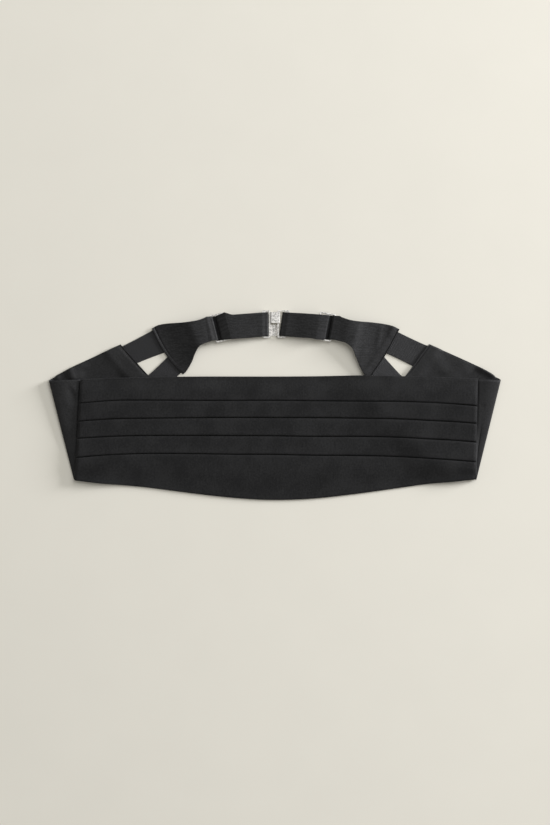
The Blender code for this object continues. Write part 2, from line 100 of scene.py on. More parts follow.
# How high the front's underside lies, by distance from the middle.
REST_LEVELS = ((0.0, 0.0), (36.0, 0.0), (48.0, 0.2), (92.0, 2.4), (130.0, 3.0),
               (200.0, 3.8), (240.0, 4.0))
WINGS = {
    "left": {"fold_top": (-226.0, 25.6), "fold_bottom": (-200.9, -73.9),
             "hem_top": (-154.1, 61.1), "hem_bottom": (-108.2, 10.2)},
    "right": {"fold_top": (225.8, 25.6), "fold_bottom": (201.8, -73.2),
              "hem_top": (154.0, 61.4), "hem_bottom": (113.8, 7.6)},
}
ELASTICS = {  # corners: top at wing and tab, bottom at tab and wing
    "elastic_upper_left": ((-160.5, 55.4), (-116.9, 78.3), (-106.2, 54.4), (-144.4, 39.5)),
    "elastic_lower_left": ((-133.6, 24.0), (-104.5, 51.5), (-90.4, 35.7), (-120.7, 7.0)),
    "elastic_upper_right": ((160.3, 56.4), (117.8, 76.2), (108.3, 53.7), (144.3, 35.9)),
    "elastic_lower_right": ((134.2, 22.1), (106.1, 52.4), (93.5, 34.6), (121.9, 3.7)),
}
TABS = {  # sections: top x and y, bottom x and y, their heights and the outward bow
    "left": (
        (-122.8, 77.0, -92.0, 31.1, 1.8, 1.8, 3.0),
        (-117.0, 80.2, -88.5, 34.2, 1.8, 2.0, 2.0),
        (-108.1, 81.9, -83.1, 43.1, 2.7, 3.6, 0.8),
        (-94.9, 82.7, -79.5, 52.0, 5.2, 5.6, 0.0),
        (-84.9, 83.7, -75.1, 59.2, 7.4, 7.2, 0.0),
        (-75.9, 85.4, -69.9, 62.1, 7.3, 6.9, 0.0),
        (-69.3, 87.9, -66.0, 63.4, 6.4, 6.2, 0.0),
    ),
    "right": (
        (124.4, 76.4, 94.6, 27.1, 1.8, 1.8, 1.4),
        (117.0, 79.7, 90.0, 29.9, 2.1, 2.3, 1.0),
        (107.0, 81.8, 85.4, 37.5, 2.7, 4.0, 0.3),
        (94.1, 83.3, 80.4, 49.6, 4.0, 6.2, 0.0),
        (84.0, 84.0, 77.0, 57.3, 6.2, 7.6, 0.0),
        (75.0, 85.4, 70.6, 62.4, 7.1, 7.3, 0.0),
        (66.9, 88.1, 64.9, 64.2, 6.1, 6.2, 0.0),
    ),
}
STRAPS = {  # drop is its slope in degrees
    "left": {"end": (-6.25, 81.4), "drop": 4.6, "slider": 47.8, "slant": -0.080,
             "tilt": 0.17, "bump": 3.0, "sag": 0.0},
    "right": {"end": (6.0, 81.5), "drop": 4.1, "slider": 44.6, "slant": 0.085,
              "tilt": 0.12, "bump": 0.0, "sag": 1.5},
}


def lerp(a, b, t):
    return a + (b - a) * t


def smoothstep(value, start, end):
    t = min(max((value - start) / (end - start), 0.0), 1.0)
    return t * t * (3.0 - 2.0 * t)


# ---- materials ----

WAVE_PACE = 20.0  # radians that the wave pattern turns in one unit
SLUB_SHAPE = (0.09, 0.9, 1.0)  # draws the satin's slubs out along the cloth
CLOUD_SHARE = 0.6  # of the satin's colour, with the streaks
GRAIN_SHARE = 0.4
MARK_SHAPE = (0.3, 6.0, 1.0)


class Finish:
    """A material whose pattern is built from small nodes."""

    def __init__(self, name, roughness, metallic=0.0, **shader_settings):
        self.material = bpy.data.materials.new(name)
        self.material.use_nodes = True
        self.tree = self.material.node_tree
        self.shader = self.tree.nodes["Principled BSDF"]
        self.shader.inputs["Roughness"].default_value = roughness
        self.shader.inputs["Metallic"].default_value = metallic
        for label, value in shader_settings.items():
            self.shader.inputs[label.replace("_", " ")].default_value = value

    def node(self, kind, inputs=None, **settings):
        made = self.tree.nodes.new(kind)
        for key, value in settings.items():
            setattr(made, key, value)
        for key, value in (inputs or {}).items():
            if isinstance(value, bpy.types.NodeSocket):
                self.tree.links.new(value, made.inputs[key])
            else:
                made.inputs[key].default_value = value
        return made

    def mapped(self, place, scale, turn=0.0):
        """A place scaled along its axes and turned by an angle in degrees."""
        inputs = {"Vector": place, "Scale": scale, "Rotation": (0.0, 0.0, math.radians(turn))}
        return self.node("ShaderNodeMapping", inputs).outputs["Vector"]

    def cloth_place(self, turn=0.0):
        """The place on the flat cloth in millimetres, turned by an angle in degrees."""
        return self.mapped(self.node("ShaderNodeUVMap", uv_map="Cut").outputs["UV"], TO_MM, turn)

    def object_place(self):
        """The place on the object in millimetres."""
        return self.mapped(self.node("ShaderNodeTexCoord").outputs["Object"], TO_MM)

    def noise(self, place, size, detail=2.0):
        """Even noise whose patches are about as wide as size."""
        return self.node("ShaderNodeTexNoise", {"Vector": place, "Scale": 1.0 / size,
                                                "Detail": detail}).outputs["Fac"]

    def lines(self, place, pitch, direction="X", wobble=0.0):
        """Soft parallel lines at a pitch, in millimetres."""
        scale = 2.0 * math.pi / WAVE_PACE / pitch
        return self.node("ShaderNodeTexWave", {"Vector": place, "Scale": scale, "Distortion": wobble,
                                               "Detail": 1.0, "Detail Scale": 0.4},
                         wave_type="BANDS", bands_direction=direction).outputs["Fac"]

    def math(self, operation, a, b):
        return self.node("ShaderNodeMath", {0: a, 1: b}, operation=operation).outputs["Value"]

    def span(self, value, low, high):
        """A value from 0 to 1 spread between two others."""
        inputs = {"Value": value, "To Min": low, "To Max": high}
        return self.node("ShaderNodeMapRange", inputs).outputs["Result"]

    def dull(self, value, low, high):
        """Spreads the roughness between two values."""
        self.tree.links.new(self.span(value, low, high), self.shader.inputs["Roughness"])

    def color(self, value, dark, light, low=0.3, high=0.7):
        ramp = self.node("ShaderNodeValToRGB", {"Fac": value})
        for stop, place, shade in zip(ramp.color_ramp.elements, (low, high), (dark, light)):
            stop.position = place
            stop.color = (*shade, 1.0)
        self.tree.links.new(ramp.outputs["Color"], self.shader.inputs["Base Color"])

    def bump(self, height, depth, strength=1.0, below=None):
        """Raises the surface by up to depth millimetres where height is 1."""
        inputs = {"Height": height, "Distance": depth * MM, "Strength": strength}
        if below is not None:
            inputs["Normal"] = below
        made = self.node("ShaderNodeBump", inputs).outputs["Normal"]
        self.tree.links.new(made, self.shader.inputs["Normal"])
        return made


def satin(name, dark, light, turn=0.0, shine=0.24, roughness=0.5, streaks=0.15):
    """Black satin: long floats along the cloth, fine cross threads and a faint uneven lustre."""
    finish = Finish(name, roughness, Specular_IOR_Level=shine, Sheen_Weight=0.06, Sheen_Roughness=0.5)
    place = finish.cloth_place(turn)
    floats = finish.lines(place, 0.28, "DIAGONAL", wobble=1.2)
    threads = finish.lines(place, 0.19, "Y", wobble=0.6)
    weave = finish.math("MULTIPLY", floats, finish.span(threads, 0.55, 1.0))
    cloudy = finish.noise(place, size=24.0, detail=3.0)
    grain = finish.noise(place, size=1.9, detail=3.0)
    slubs = finish.noise(finish.mapped(place, SLUB_SHAPE), size=1.0, detail=2.0)
    clouds = finish.math("MULTIPLY", cloudy, CLOUD_SHARE - streaks)
    even = finish.math("ADD", clouds, finish.math("MULTIPLY", grain, GRAIN_SHARE))
    mixed = finish.math("ADD", even, finish.math("MULTIPLY", slubs, streaks))
    finish.color(mixed, dark, light, low=0.42, high=0.58)
    finish.dull(finish.math("MULTIPLY", grain, cloudy), roughness + 0.08, roughness - 0.10)
    fine = finish.bump(weave, depth=0.035)
    pulls = finish.bump(slubs, depth=0.25 * streaks, below=fine)
    finish.bump(grain, depth=0.14, strength=0.75, below=pulls)
    return finish.material


def ribbed_elastic(name, dark, light):
    """Woven elastic: lengthwise ribs over the rubber threads, crossed by fine picks."""
    finish = Finish(name, 0.62, Specular_IOR_Level=0.32, Sheen_Weight=0.15, Sheen_Roughness=0.45)
    place = finish.cloth_place()
    ribs = finish.lines(place, 1.15, "Y", wobble=0.25)
    picks = finish.lines(place, 0.42, "X", wobble=0.8)
    fuzz = finish.noise(place, size=0.5, detail=4.0)
    ridges = finish.math("MULTIPLY", ribs, 0.6)
    finish.color(finish.math("ADD", ridges, finish.math("MULTIPLY", fuzz, 0.4)), dark, light)
    fine = finish.bump(picks, depth=0.06)
    woven = finish.bump(ribs, depth=0.22, below=fine)
    finish.bump(fuzz, depth=0.06, strength=0.6, below=woven)
    return finish.material


def thread(name, shade):
    finish = Finish(name, 0.6, Specular_IOR_Level=0.35, Sheen_Weight=0.2)
    twist = finish.lines(finish.object_place(), 0.30, "DIAGONAL")
    finish.color(twist, tuple(0.7 * s for s in shade), shade)
    finish.bump(twist, depth=0.04)
    return finish.material


def nickel(name, dark, light, roughness):
    """Plated steel: bright, with faint polishing marks and slightly duller patches."""
    finish = Finish(name, roughness, metallic=1.0)
    place = finish.object_place()
    patches = finish.noise(place, size=1.5, detail=3.0)
    marks = finish.noise(finish.mapped(place, MARK_SHAPE), size=1.0, detail=3.0)
    finish.color(patches, dark, light, low=0.38, high=0.55)
    finish.dull(finish.math("MULTIPLY", patches, marks), roughness * 0.8, roughness * 1.5)
    finish.bump(marks, depth=0.015, strength=0.5)
    return finish.material


def paper(name, shade):
    """The plain pale surface."""
    finish = Finish(name, 0.85, Specular_IOR_Level=0.1)
    place = finish.object_place()
    finish.color(finish.noise(place, size=60.0, detail=4.0), tuple(0.985 * s for s in shade), shade)
    finish.bump(finish.noise(place, size=1.6, detail=3.0), depth=0.03, strength=0.4)
    return finish.material


# ---- cloth ----

EDGE_ROUNDING = 0.28  # of a sheet's raw edges, as a share of its thickness
EDGE_ANGLE = 62  # the least turn that is rounded, in degrees
CREASE_REACH = 3.0  # half widths at which a crease ends
CREASE_FADE = (0.3, 0.35)  # shares of its length over which it fades in


def arc(center, radius, start, end, steps):
    """Points on an arc in a plane, between two angles in degrees."""
    found = []
    for k in range(steps + 1):
        angle = math.radians(lerp(start, end, k / steps))
        found.append((center[0] + radius * math.cos(angle), center[1] + radius * math.sin(angle)))
    return found


def add_object(name, data):
    piece = bpy.data.objects.new(name, data)
    bpy.context.scene.collection.objects.link(piece)
    return piece


def set_mode(mode):
    bpy.ops.object.mode_set(mode=mode)


def deselect():
    bpy.ops.object.select_all(action="DESELECT")


def activate(piece):
    deselect()
    piece.select_set(True)
    bpy.context.view_layer.objects.active = piece


def apply_modifier(piece, kind, **settings):
    activate(piece)
    modifier = piece.modifiers.new(kind.title(), kind)
    for key, value in settings.items():
        setattr(modifier, key, value)
    bpy.ops.object.modifier_apply(modifier=modifier.name)


def settle(piece, material, body=ROOT):
    """Gives a finished piece its material and body."""
    piece.data.materials.clear()
    piece.data.materials.append(material)
    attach(piece, body)
    return piece


def cut_places(rows):
    """Where each point lies on the flat cloth, in metres: along the sheet, then across it."""
    places = [[[0.0, 0.0] for _ in row] for row in rows]
    for i, row in enumerate(rows):
        for j, point in enumerate(row):
            if i:
                places[i][j][0] = places[i - 1][j][0] + (point - rows[i - 1][j]).length * MM
            if j:
                places[i][j][1] = places[i][j - 1][1] + (point - row[j - 1]).length * MM
    return places


def cut_size(rows):
    """The flat cut of a sheet from its middle points: greatest width, greatest length and area."""
    places = cut_places(rows)
    length = max(place[0] for place in places[-1])
    width = max(line[-1][1] for line in places)
    area = 0.0
    for row, after in zip(rows, rows[1:]):
        for a, b, c, d in zip(row, row[1:], after[1:], after):
            area += (c - a).cross(d - b).length / 2 * MM * MM
    return width, length, area


def cloth(name, rows, material, thickness=CLOTH):
    """A thin sheet round a grid of middle points in millimetres, with rounded raw edges."""
    width = len(rows[0])
    faces = [(i * width + j, (i + 1) * width + j, (i + 1) * width + j + 1, i * width + j + 1)
             for i in range(len(rows) - 1) for j in range(width - 1)]
    mesh = bpy.data.meshes.new(name)
    mesh.from_pydata([point * MM for row in rows for point in row], [], faces)
    places = [place for line in cut_places(rows) for place in line]
    cut = mesh.uv_layers.new(name="Cut")
    for loop in mesh.loops:
        cut.data[loop.index].uv = places[loop.vertex_index]
    piece = add_object(name, mesh)
    mesh.shade_smooth()
    apply_modifier(piece, "SOLIDIFY", thickness=thickness * MM, offset=0.0)
    apply_modifier(piece, "BEVEL", width=EDGE_ROUNDING * thickness * MM, segments=2, limit_method="ANGLE",
                   angle_limit=math.radians(EDGE_ANGLE), use_clamp_overlap=True)
    return settle(piece, material)


def relief(creases, x, y):
    """The height of soft ridges and troughs at a place.

    A row gives the crease's two ends, its half width and its height, which is negative in a trough.
    """
    height = 0.0
    for x0, y0, x1, y1, half_width, rise in creases:
        run_x, run_y = x1 - x0, y1 - y0
        size = math.hypot(run_x, run_y)
        along = ((x - x0) * run_x + (y - y0) * run_y) / size
        across = ((x - x0) * run_y - (y - y0) * run_x) / size
        if abs(across) > CREASE_REACH * half_width or not -half_width < along < size + half_width:
            continue
        begin = smoothstep(along, -half_width, CREASE_FADE[0] * size)
        end = smoothstep(size + half_width - along, 0.0, CREASE_FADE[1] * size)
        height += rise * (begin * end) * math.exp(-(across / half_width) ** 2)
    return height


def soft_noise(x, y, size, seed):
    """Even noise between about -1 and 1, in patches of a size in millimetres."""
    return 2.0 * noise.noise(Vector((x / size, y / size, seed)))


# ---- the pleated front ----

BAND_LEVEL = 2  # the layer on which each band lies
DITCH = {"shoulder": 0.6, "foot": 0.4, "steepness": 84.0, "clearance": 1.15}
DITCH_DEPTHS = (0.45, 1.0, 1.0, 0.95)  # share of the full drop, for each pleat from the top
CROWN = 15.0  # distance from the top edge where the top band has its full height
FRONT_COLUMN = 2.6  # distance between the front's columns of points
END_COLUMNS = (0.0, 0.35, 0.7, 1.1, 1.6, 2.2, 3.0, 4.2)  # closer ones at its ends
END_ROUNDING = {"left": 0.3, "right": 0.2}  # share of its height that the front loses at its ends
END_REACH = 3.0  # how far from its ends that loss reaches
EDGE_DROOP = 0.42  # how far the top edge droops towards the right end
DROOP_RUN = (112.0, 132.0)
DROOP_REACH = 2.2
LEAST_DROP = 1.2  # how far a band comes down before a fold where its share is 0
LAST_BAND = {"level": 4.0, "fall": 34.0, "foot": 3.0, "hem": 12.0}  # distances in the lowest band
DROP_NOISE = (0.10, 38.0, 3.0)  # share, patch size and first seed of the drops' unevenness
BAND_NOISE = (0.12, 34.0, 1.0)  # height, patch size and seed of the bands' unevenness
FRONT_WALL = 0.8
FRONT_CREASES = (
    (-192, 14, -150, 22, 5, 0.25),
    (-190, -4, -176, 1.5, 3, 0.2),
    (114, -6, 126, 20, 9, -0.25),
    (160, -30, 162, 24, 12, -0.4),
    (188, -30, 190, 24, 12, 0.6),
    (60, -24, 118, -20, 6, 0.15),
    (-90, -62, -30, -74, 7, 0.2),
    (30, -70, 120, -66, 8, 0.2),
)


def read_table(rows, x, column):
    """A smooth curve through one column of a table whose first column is the position."""
    last = len(rows) - 1
    i = max(j for j in range(last) if j == 0 or rows[j][0] <= x)
    x0, x1 = rows[i][0], rows[i + 1][0]
    y0, y1 = rows[i][column], rows[i + 1][column]

    def slope(j):
        a, b = max(j - 1, 0), min(j + 1, last)
        return (rows[b][column] - rows[a][column]) / (rows[b][0] - rows[a][0])

    t = (x - x0) / (x1 - x0)
    run = x1 - x0
    return ((2 * t**3 - 3 * t**2 + 1) * y0 + (t**3 - 2 * t**2 + t) * run * slope(i)
            + (3 * t**2 - 2 * t**3) * y1 + (t**3 - t**2) * run * slope(i + 1))


def front_end(side, y):
    top_x, bottom_x = FRONT_END_X[side]
    return lerp(top_x, bottom_x, (FRONT_END_Y[0] - y) / (FRONT_END_Y[0] - FRONT_END_Y[1]))


def rest_level(x, y):
    """How high the front's underside lies."""
    level = read_table(REST_LEVELS, abs(x), 1)
    layout = WINGS["left" if x < 0 else "right"]
    start, end = layout["fold_bottom"], layout["hem_bottom"]
    wing_edge = lerp(start[1], end[1], (x - start[0]) / (end[0] - start[0]))
    return level * (1.0 - smoothstep(wing_edge - y, *REST_FADE))


def level_run(y_from, y_to, z_from, z_to, steps, bunch=1.0):
    """Points of a gently easing stretch, without its first one; bunch above 1 puts the first ones closer."""
    points = []
    for k in range(1, steps + 1):
        t = (k / steps) ** bunch
        points.append((lerp(y_from, y_to, t), lerp(z_from, z_to, smoothstep(t, 0.0, 1.0))))
    return points


def ditch(fold, high, low):
    """The band above a pleat turns down in front of its fold: shoulder, steep wall and foot."""
    angle = DITCH["steepness"]
    rise = math.radians(angle)
    shoulder, foot = DITCH["shoulder"], DITCH["foot"]
    drop = high - low
    straight = max(drop - (shoulder + foot) * (1.0 - math.cos(rise)), 0.0) / math.sin(rise)
    reach = (shoulder + foot) * math.sin(rise) + straight * math.cos(rise)
    start = fold + DITCH["clearance"] + reach
    foot_at = (fold + DITCH["clearance"], low + foot)
    return (arc((start, high - shoulder), shoulder, 90, 90 + angle, 4)
            + arc(foot_at, foot, 270 + angle, 270, 4))


def front_profile(edges, depths):
    """Middle points (y, z) of one section, from the turned top edge to the turned bottom edge."""
    top, bottom = edges[0], edges[-1]
    radius = LAYER / 2
    floor = CLOTH / 2
    band_z = floor + BAND_LEVEL * LAYER

    hem_end = edges[1] + TUCK_STOP
    path = [(hem_end, floor + LAYER)] + level_run(hem_end, top - HEM_REST, floor + LAYER, floor, 8)
    path += arc((top - radius, floor + radius), radius, -90, 90, 8)
    path += level_run(top - radius, top - CROWN, floor + LAYER, band_z, 12, bunch=2.0)
    start, z = top - CROWN, band_z
    tucks = [fold + TUCK_STOP for fold in edges[2:-1]] + [edges[-2] - LAST_TUCK]
    for fold, tuck, depth in zip(edges[1:-1], tucks, depths):
        low = lerp(band_z - LEAST_DROP, floor, depth)
        down = ditch(fold, band_z, low)
        path += level_run(start, down[0][0], z, band_z, 9)[:-1]
        path += down
        path += level_run(fold, fold - TUCK_SETTLE, low, floor, 4)
        path += level_run(fold - TUCK_SETTLE, tuck + radius, floor, floor, 4)[:-1]
        path += arc((tuck + radius, floor + radius), radius, 270, 90, 5)
        path += level_run(tuck + radius, fold - radius, floor + LAYER, floor + LAYER, 6)[:-1]
        path += arc((fold - radius, floor + 3 * radius), radius, -90, 90, 7)
        start, z = fold - radius, band_z
    foot = max(start - LAST_BAND["fall"], bottom + radius + LAST_BAND["foot"])
    path += level_run(start, start - LAST_BAND["level"], band_z, band_z, 2)
    path += level_run(start - LAST_BAND["level"], foot, band_z, floor + LAYER, 12)
    path += level_run(foot, bottom + radius, floor + LAYER, floor + LAYER, 5)[:-1]
    path += arc((bottom + radius, floor + radius), radius, 90, 270, 8)
    path += level_run(bottom + radius, start - LAST_BAND["hem"], floor, floor, 5)
    return path


def make_front(material):
    first, last = FRONT_SECTIONS[0][0], FRONT_SECTIONS[-1][0]
    length = last - first
    columns = round(length / FRONT_COLUMN)
    ends = [distance / length for distance in END_COLUMNS]
    inner = [u for u in (k / columns for k in range(columns + 1)) if ends[-1] < u < 1.0 - ends[-1]]
    drop_share, drop_size, drop_seed = DROP_NOISE
    lump_height, lump_size, lump_seed = BAND_NOISE
    rows = []
    for u in ends + inner + [1.0 - u for u in reversed(ends)]:
        nominal = lerp(first, last, u)
        from_end = min(u, 1.0 - u) * length
        near_end = 1.0 - smoothstep(from_end, -END_REACH, END_REACH)
        flatten = 1.0 - END_ROUNDING["left" if u < 0.5 else "right"] * near_end * 2.0
        edges = [read_table(FRONT_SECTIONS, nominal, c) for c in range(1, len(FRONT_SECTIONS[0]))]
        depths = [min(1.0, share * (1.0 + drop_share * soft_noise(nominal, 0.0, drop_size, drop_seed + n)))
                  for n, share in enumerate(DITCH_DEPTHS)]
        row = []
        for y, z in front_profile(edges, depths):
            x = lerp(front_end("left", y), front_end("right", y), u)
            shown = smoothstep(z, LAYER, 2 * LAYER)
            z += shown * (relief(FRONT_CREASES, x, y) + lump_height * soft_noise(x, y, lump_size, lump_seed))
            from_top = smoothstep(edges[0] - y, LAYER / 2, DROOP_REACH)
            droop = EDGE_DROOP * smoothstep(x, *DROOP_RUN) * (1.0 - from_top)
            z -= droop * min((z - CLOTH / 2) / LAYER, 1.0)
            row.append(Vector((x, y, z * flatten + rest_level(x, y))))
        rows.append(row)
    piece = cloth("front_panel_satin", rows, material, thickness=FRONT_WALL)
    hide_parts("front_panel")
    width, length, area = cut_size(rows)


# ---- the wings ----

WING_COLUMNS = 44
TOP_COLUMNS = (0.0, 0.005, 0.010, 0.016)  # closer ones at its top edge
TOP_DROOP = {"left": 0.5, "right": 0.9}
TOP_BOW = {"left": 1.2, "right": 1.8}  # how far its top edge bows outward past the fold
WING_STEPS = {"seam": 14, "bend": 20, "hem": 60}
WING_WALL = 0.8
WING_CREASES = {
    "left": {
        "upper": ((-203, 22, -196, 10, 2.2, 0.5), (-207, 18, -197, 4, 2.6, -0.4),
                  (-212, 6, -199, -6, 3, 0.3)),
        "lower": ((-200.8, 24, -205.8, 38, 3.6, 2), (-192.5, 24, -198.5, 38, 5.5, 0.9),
                  (-216.5, 22, -221, 33, 3.4, 1.1), (-174, 54, -157, 28, 10, 0.55),
                  (-175, 52, -161, 36, 4, 0.3), (-197, 43, -186, 37, 3, 0.35)),
    },
    "right": {
        "upper": ((203, 0.8, 215, -1.6, 1.4, -0.35), (206, -20, 203, -50, 3, -0.3)),
        "lower": ((157, 52, 169, 34, 7, 0.7), (224.5, 29.5, 204, 40, 4, 2.8),
                  (186, 44, 192, 34, 5, 0.4)),
    },
}
# Where a wing comes into view above the front, and lower down beyond its end.
OPEN_AIR = {"x": (188.0, 196.0), "start": (29.0, 22.0), "end": (34.0, 27.0)}
HEM_WELTS = {  # distance from the hem, half width and height
    "left": ((2.3, 1.3, -0.35), (1.3, 0.6, -0.45)),
    "right": ((1.3, 0.7, -0.45),),
}
HEM_LIFT = {"left": 1.75, "right": 1.4}  # how far the hem lies above the floor's layer, on the elastics
FOLD_SPREAD = (3.2, 1.0)  # how far the fold's curve runs on above and below, in fold radii
SEAM_DIP = {"left": 1.0, "right": 0.6}  # how far the wing sinks beside the seam
SEAM_DIP_REACH = 2.2
SEAM_SHARE = 0.8  # the most of the way to the seam that the fold takes up
SEAM_FADE = 0.3  # share of what is left over which creases fade in
BUNCH = {"seam": 1.5, "hem": 2}  # powers that bring steps closer
TOP_FADE = {"dip": 8, "bow": 4}  # powers with which these die away below the top


class WingFold:
    """Turns a point of the wing's flat cut into its place on the folded wing.

    The wing bends round a narrow cone along the fold line: distance is measured from the line
    where the bend starts, positive on the side of the seam.
    """

    def __init__(self, fold_top, fold_bottom, inward):
        self.bottom = Vector(fold_bottom)
        line = Vector(fold_top) - self.bottom
        self.length = line.length
        self.along = line.normalized()
        self.inward = Vector((self.along.y, -self.along.x))
        if self.inward.x * inward < 0:
            self.inward.negate()

    def radius(self, height):
        low, high = WING_FOLD_RADIUS
        return lerp(low, high, min(max(height / self.length, 0.0), 1.0))

    def split(self, point):
        """Height along the fold line, and distance from where the bend starts."""
        offset = Vector(point) - self.bottom
        height = offset.dot(self.along)
        return height, offset.dot(self.inward) - self.radius(height) - CLOTH / 2

    def join(self, height, distance, z):
        reach = distance + self.radius(height) + CLOTH / 2
        flat = self.bottom + self.along * height + self.inward * reach
        return Vector((flat.x, flat.y, z))

    def unfold(self, point):
        """The place in the flat cut of a point that lies on the lower layer."""
        height, distance = self.split(point)
        return self.join(height, -distance - math.pi * self.radius(height), 0.0).xy

    def fold(self, point, dip):
        """The point's place once folded; dip lowers the fold's corner in the middle of the bend."""
        height, distance = self.split(point)
        radius = self.radius(height)
        half_turn = math.pi * radius / 2
        height -= dip * (1.0 - smoothstep(abs(distance + half_turn), 0.0, CORNER_REACH))
        above, below = (share * radius for share in FOLD_SPREAD)
        if distance >= above:
            return self.join(height, distance, CLOTH / 2 + 2 * radius)
        if distance > -half_turn:
            turned = (above - distance) / (above + half_turn) * math.pi / 2
            z = CLOTH / 2 + radius + radius * math.cos(turned)
            return self.join(height, above - (above + radius) * math.sin(turned), z)
        if distance > -2 * half_turn - below:
            turned = (-distance - half_turn) / (half_turn + below) * math.pi / 2
            z = CLOTH / 2 + radius - radius * math.sin(turned)
            return self.join(height, -radius + (radius + below) * (1.0 - math.cos(turned)), z)
        return self.join(height, -distance - math.pi * radius, CLOTH / 2)


def hem_welts(side, from_hem):
    return sum(height * math.exp(-((from_hem - at) / half) ** 2) for at, half, height in HEM_WELTS[side])


def wing_grid(side):
    """Middle points of a wing: rows run across it, from the seam to the hem."""
    layout, creases = WINGS[side], WING_CREASES[side]
    inward = -OUTWARD[side]
    turn = WingFold(layout["fold_top"], layout["fold_bottom"], inward)
    hem = [turn.unfold(layout[corner]) for corner in ("hem_top", "hem_bottom")]
    seam = [Vector((front_end(side, y) - inward * GAP, y)) for y in FRONT_END_Y]
    rim = Vector(layout["hem_top"]) - Vector(layout["fold_top"])
    bow = Vector((-rim.y * inward, rim.x * inward, 0.0)).normalized() * TOP_BOW[side]
    before, round_it, past = WING_STEPS["seam"], WING_STEPS["bend"], WING_STEPS["hem"]
    columns = []
    for v in (*TOP_COLUMNS, *(j / WING_COLUMNS for j in range(1, WING_COLUMNS + 1))):
        start, end = seam[0].lerp(seam[1], v), hem[0].lerp(hem[1], v)
        height_a, a = turn.split(start)
        height_b, b = turn.split(end)
        bend = turn.radius(lerp(height_a, height_b, a / (a - b)))
        above = min(FOLD_SPREAD[0] * bend, SEAM_SHARE * a)
        below = FOLD_SPREAD[1] * bend
        begin, finish = (a - above) / (a - b), (a + math.pi * bend + below) / (a - b)
        seam_height = lerp(*SEAM_HEIGHTS[side], v)
        stops = [begin * (k / before) ** BUNCH["seam"] for k in range(before)]
        stops += [lerp(begin, finish, k / round_it) for k in range(round_it + 1)]
        stops += [lerp(1.0, finish, (1.0 - k / past) ** BUNCH["hem"]) for k in range(1, past + 1)]
        droop = TOP_DROOP[side] * (1.0 - smoothstep(v, 0.0, TOP_COLUMNS[-1]))
        column = []
        for t in stops:
            point = turn.fold(start.lerp(end, t), CORNER_DIP[side] * (1.0 - v) ** TOP_FADE["dip"])
            if t < begin:
                from_seam = t * (a - b)
                point.z = lerp(seam_height, point.z, smoothstep(t, 0.0, begin))
                point.z += relief(creases["upper"], point.x, point.y) * smoothstep(t, 0.0, SEAM_FADE * begin)
                point.z -= SEAM_DIP[side] * (1.0 - v) * (1.0 - smoothstep(from_seam, 0.0, SEAM_DIP_REACH))
            from_hem = (1.0 - t) * (end - start).length
            if t > finish:
                past_fold = (t - finish) / (1.0 - finish)
                point += bow * math.sin(math.pi * math.sqrt(past_fold)) * (1.0 - v) ** TOP_FADE["bow"]
                point.z += HEM_LIFT[side] * (1.0 - smoothstep(from_hem, *WING_LIFT_RUN[side]))
                beyond = smoothstep(abs(point.x), *OPEN_AIR["x"])
                shown = smoothstep(point.y, *(lerp(*OPEN_AIR[key], beyond) for key in ("start", "end")))
                point.z += shown * (relief(creases["lower"], point.x, point.y) + hem_welts(side, from_hem))
            point.z = max(point.z - droop, WING_WALL / 2)
            column.append(point)
        columns.append(column)
    return [list(row) for row in zip(*columns)]


def make_wing(side, material):
    rows = wing_grid(side)
    piece = cloth(f"wing_{side}_satin", rows, material, thickness=WING_WALL)
    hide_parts("wing_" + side)
    width, length, area = cut_size(rows)


# ---- the elastics ----

ELASTIC_STEPS = (60, 16)  # along it and across it
ELASTIC_WAIST = 0.5  # how far its edges draw in between its ends
ELASTIC_WALL = 0.96


def make_elastic(node, corners, material):
    wing_top, tab_top, tab_bottom, wing_bottom = (Vector((*c, CLOTH / 2)) for c in corners)
    along, across = ELASTIC_STEPS
    rows = []
    for i in range(along + 1):
        u = i / along
        top, bottom = wing_top.lerp(tab_top, u), wing_bottom.lerp(tab_bottom, u)
        draw = (top - bottom).normalized() * ELASTIC_WAIST * math.sin(math.pi * u)
        rows.append([(top - draw).lerp(bottom + draw, j / across) for j in range(across + 1)])
    piece = cloth(node + "_web", rows, material, thickness=ELASTIC_WALL)
    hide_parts(node)
    width, length, area = cut_size(rows)


# ---- the tabs and straps ----

SLIDER_Z = CLOTH / 2 + BAR_WRAP + LAYER
LOOP_Z = CLOTH / 2 + LOOP_RADIUS
WEAVE_ANGLE = math.degrees(math.acos((2 * BAR_WRAP + LAYER) / BAR_PITCH))
KNEE_AT = {"left": 7.2, "right": 6.8}  # distance from the clasp where the strap's steep rise ends
KNEE_RISE = {"left": 0.95, "right": 0.75}
TAB_DIP_REACH = 5.0  # where the tab starts to come down to the slider's outer bar
TAB_DIP = {"left": 1.5, "right": 0.6}  # how far it comes down
WRAP_START = 120  # where on the bar its wrap starts, in degrees
TAB_STEPS = (96, 26)  # along it and across it
TAB_WALL = 0.9
TAB_OPEN_Y = 31.5  # above it the tab lies clear of the front
CLASP_SETTLE = 3.0  # distance from its turn in the clasp where the strap is down
TAB_WELTS = {  # distance from the wide edge, half width, and height at its top and bottom
    "left": ((2.7, 1.0, -0.75, 0.1), (0.0, 1.3, 0.1, -0.4)),
    "right": ((1.1, 0.7, -0.85, -0.85), (6.5, 3.0, 0.4, 0.9)),
}
TAB_CREASES = {
    "left": ((-84, 82, -80, 60, 4, 0.3),),
    "right": ((84, 80, 78, 66, 3, 0.3), (106.5, 81, 101.5, 56, 2.6, 0.5),
              (92, 58, 84, 42, 2.5, 0.3), (119, 82, 116, 71, 3.2, 0.6)),
}


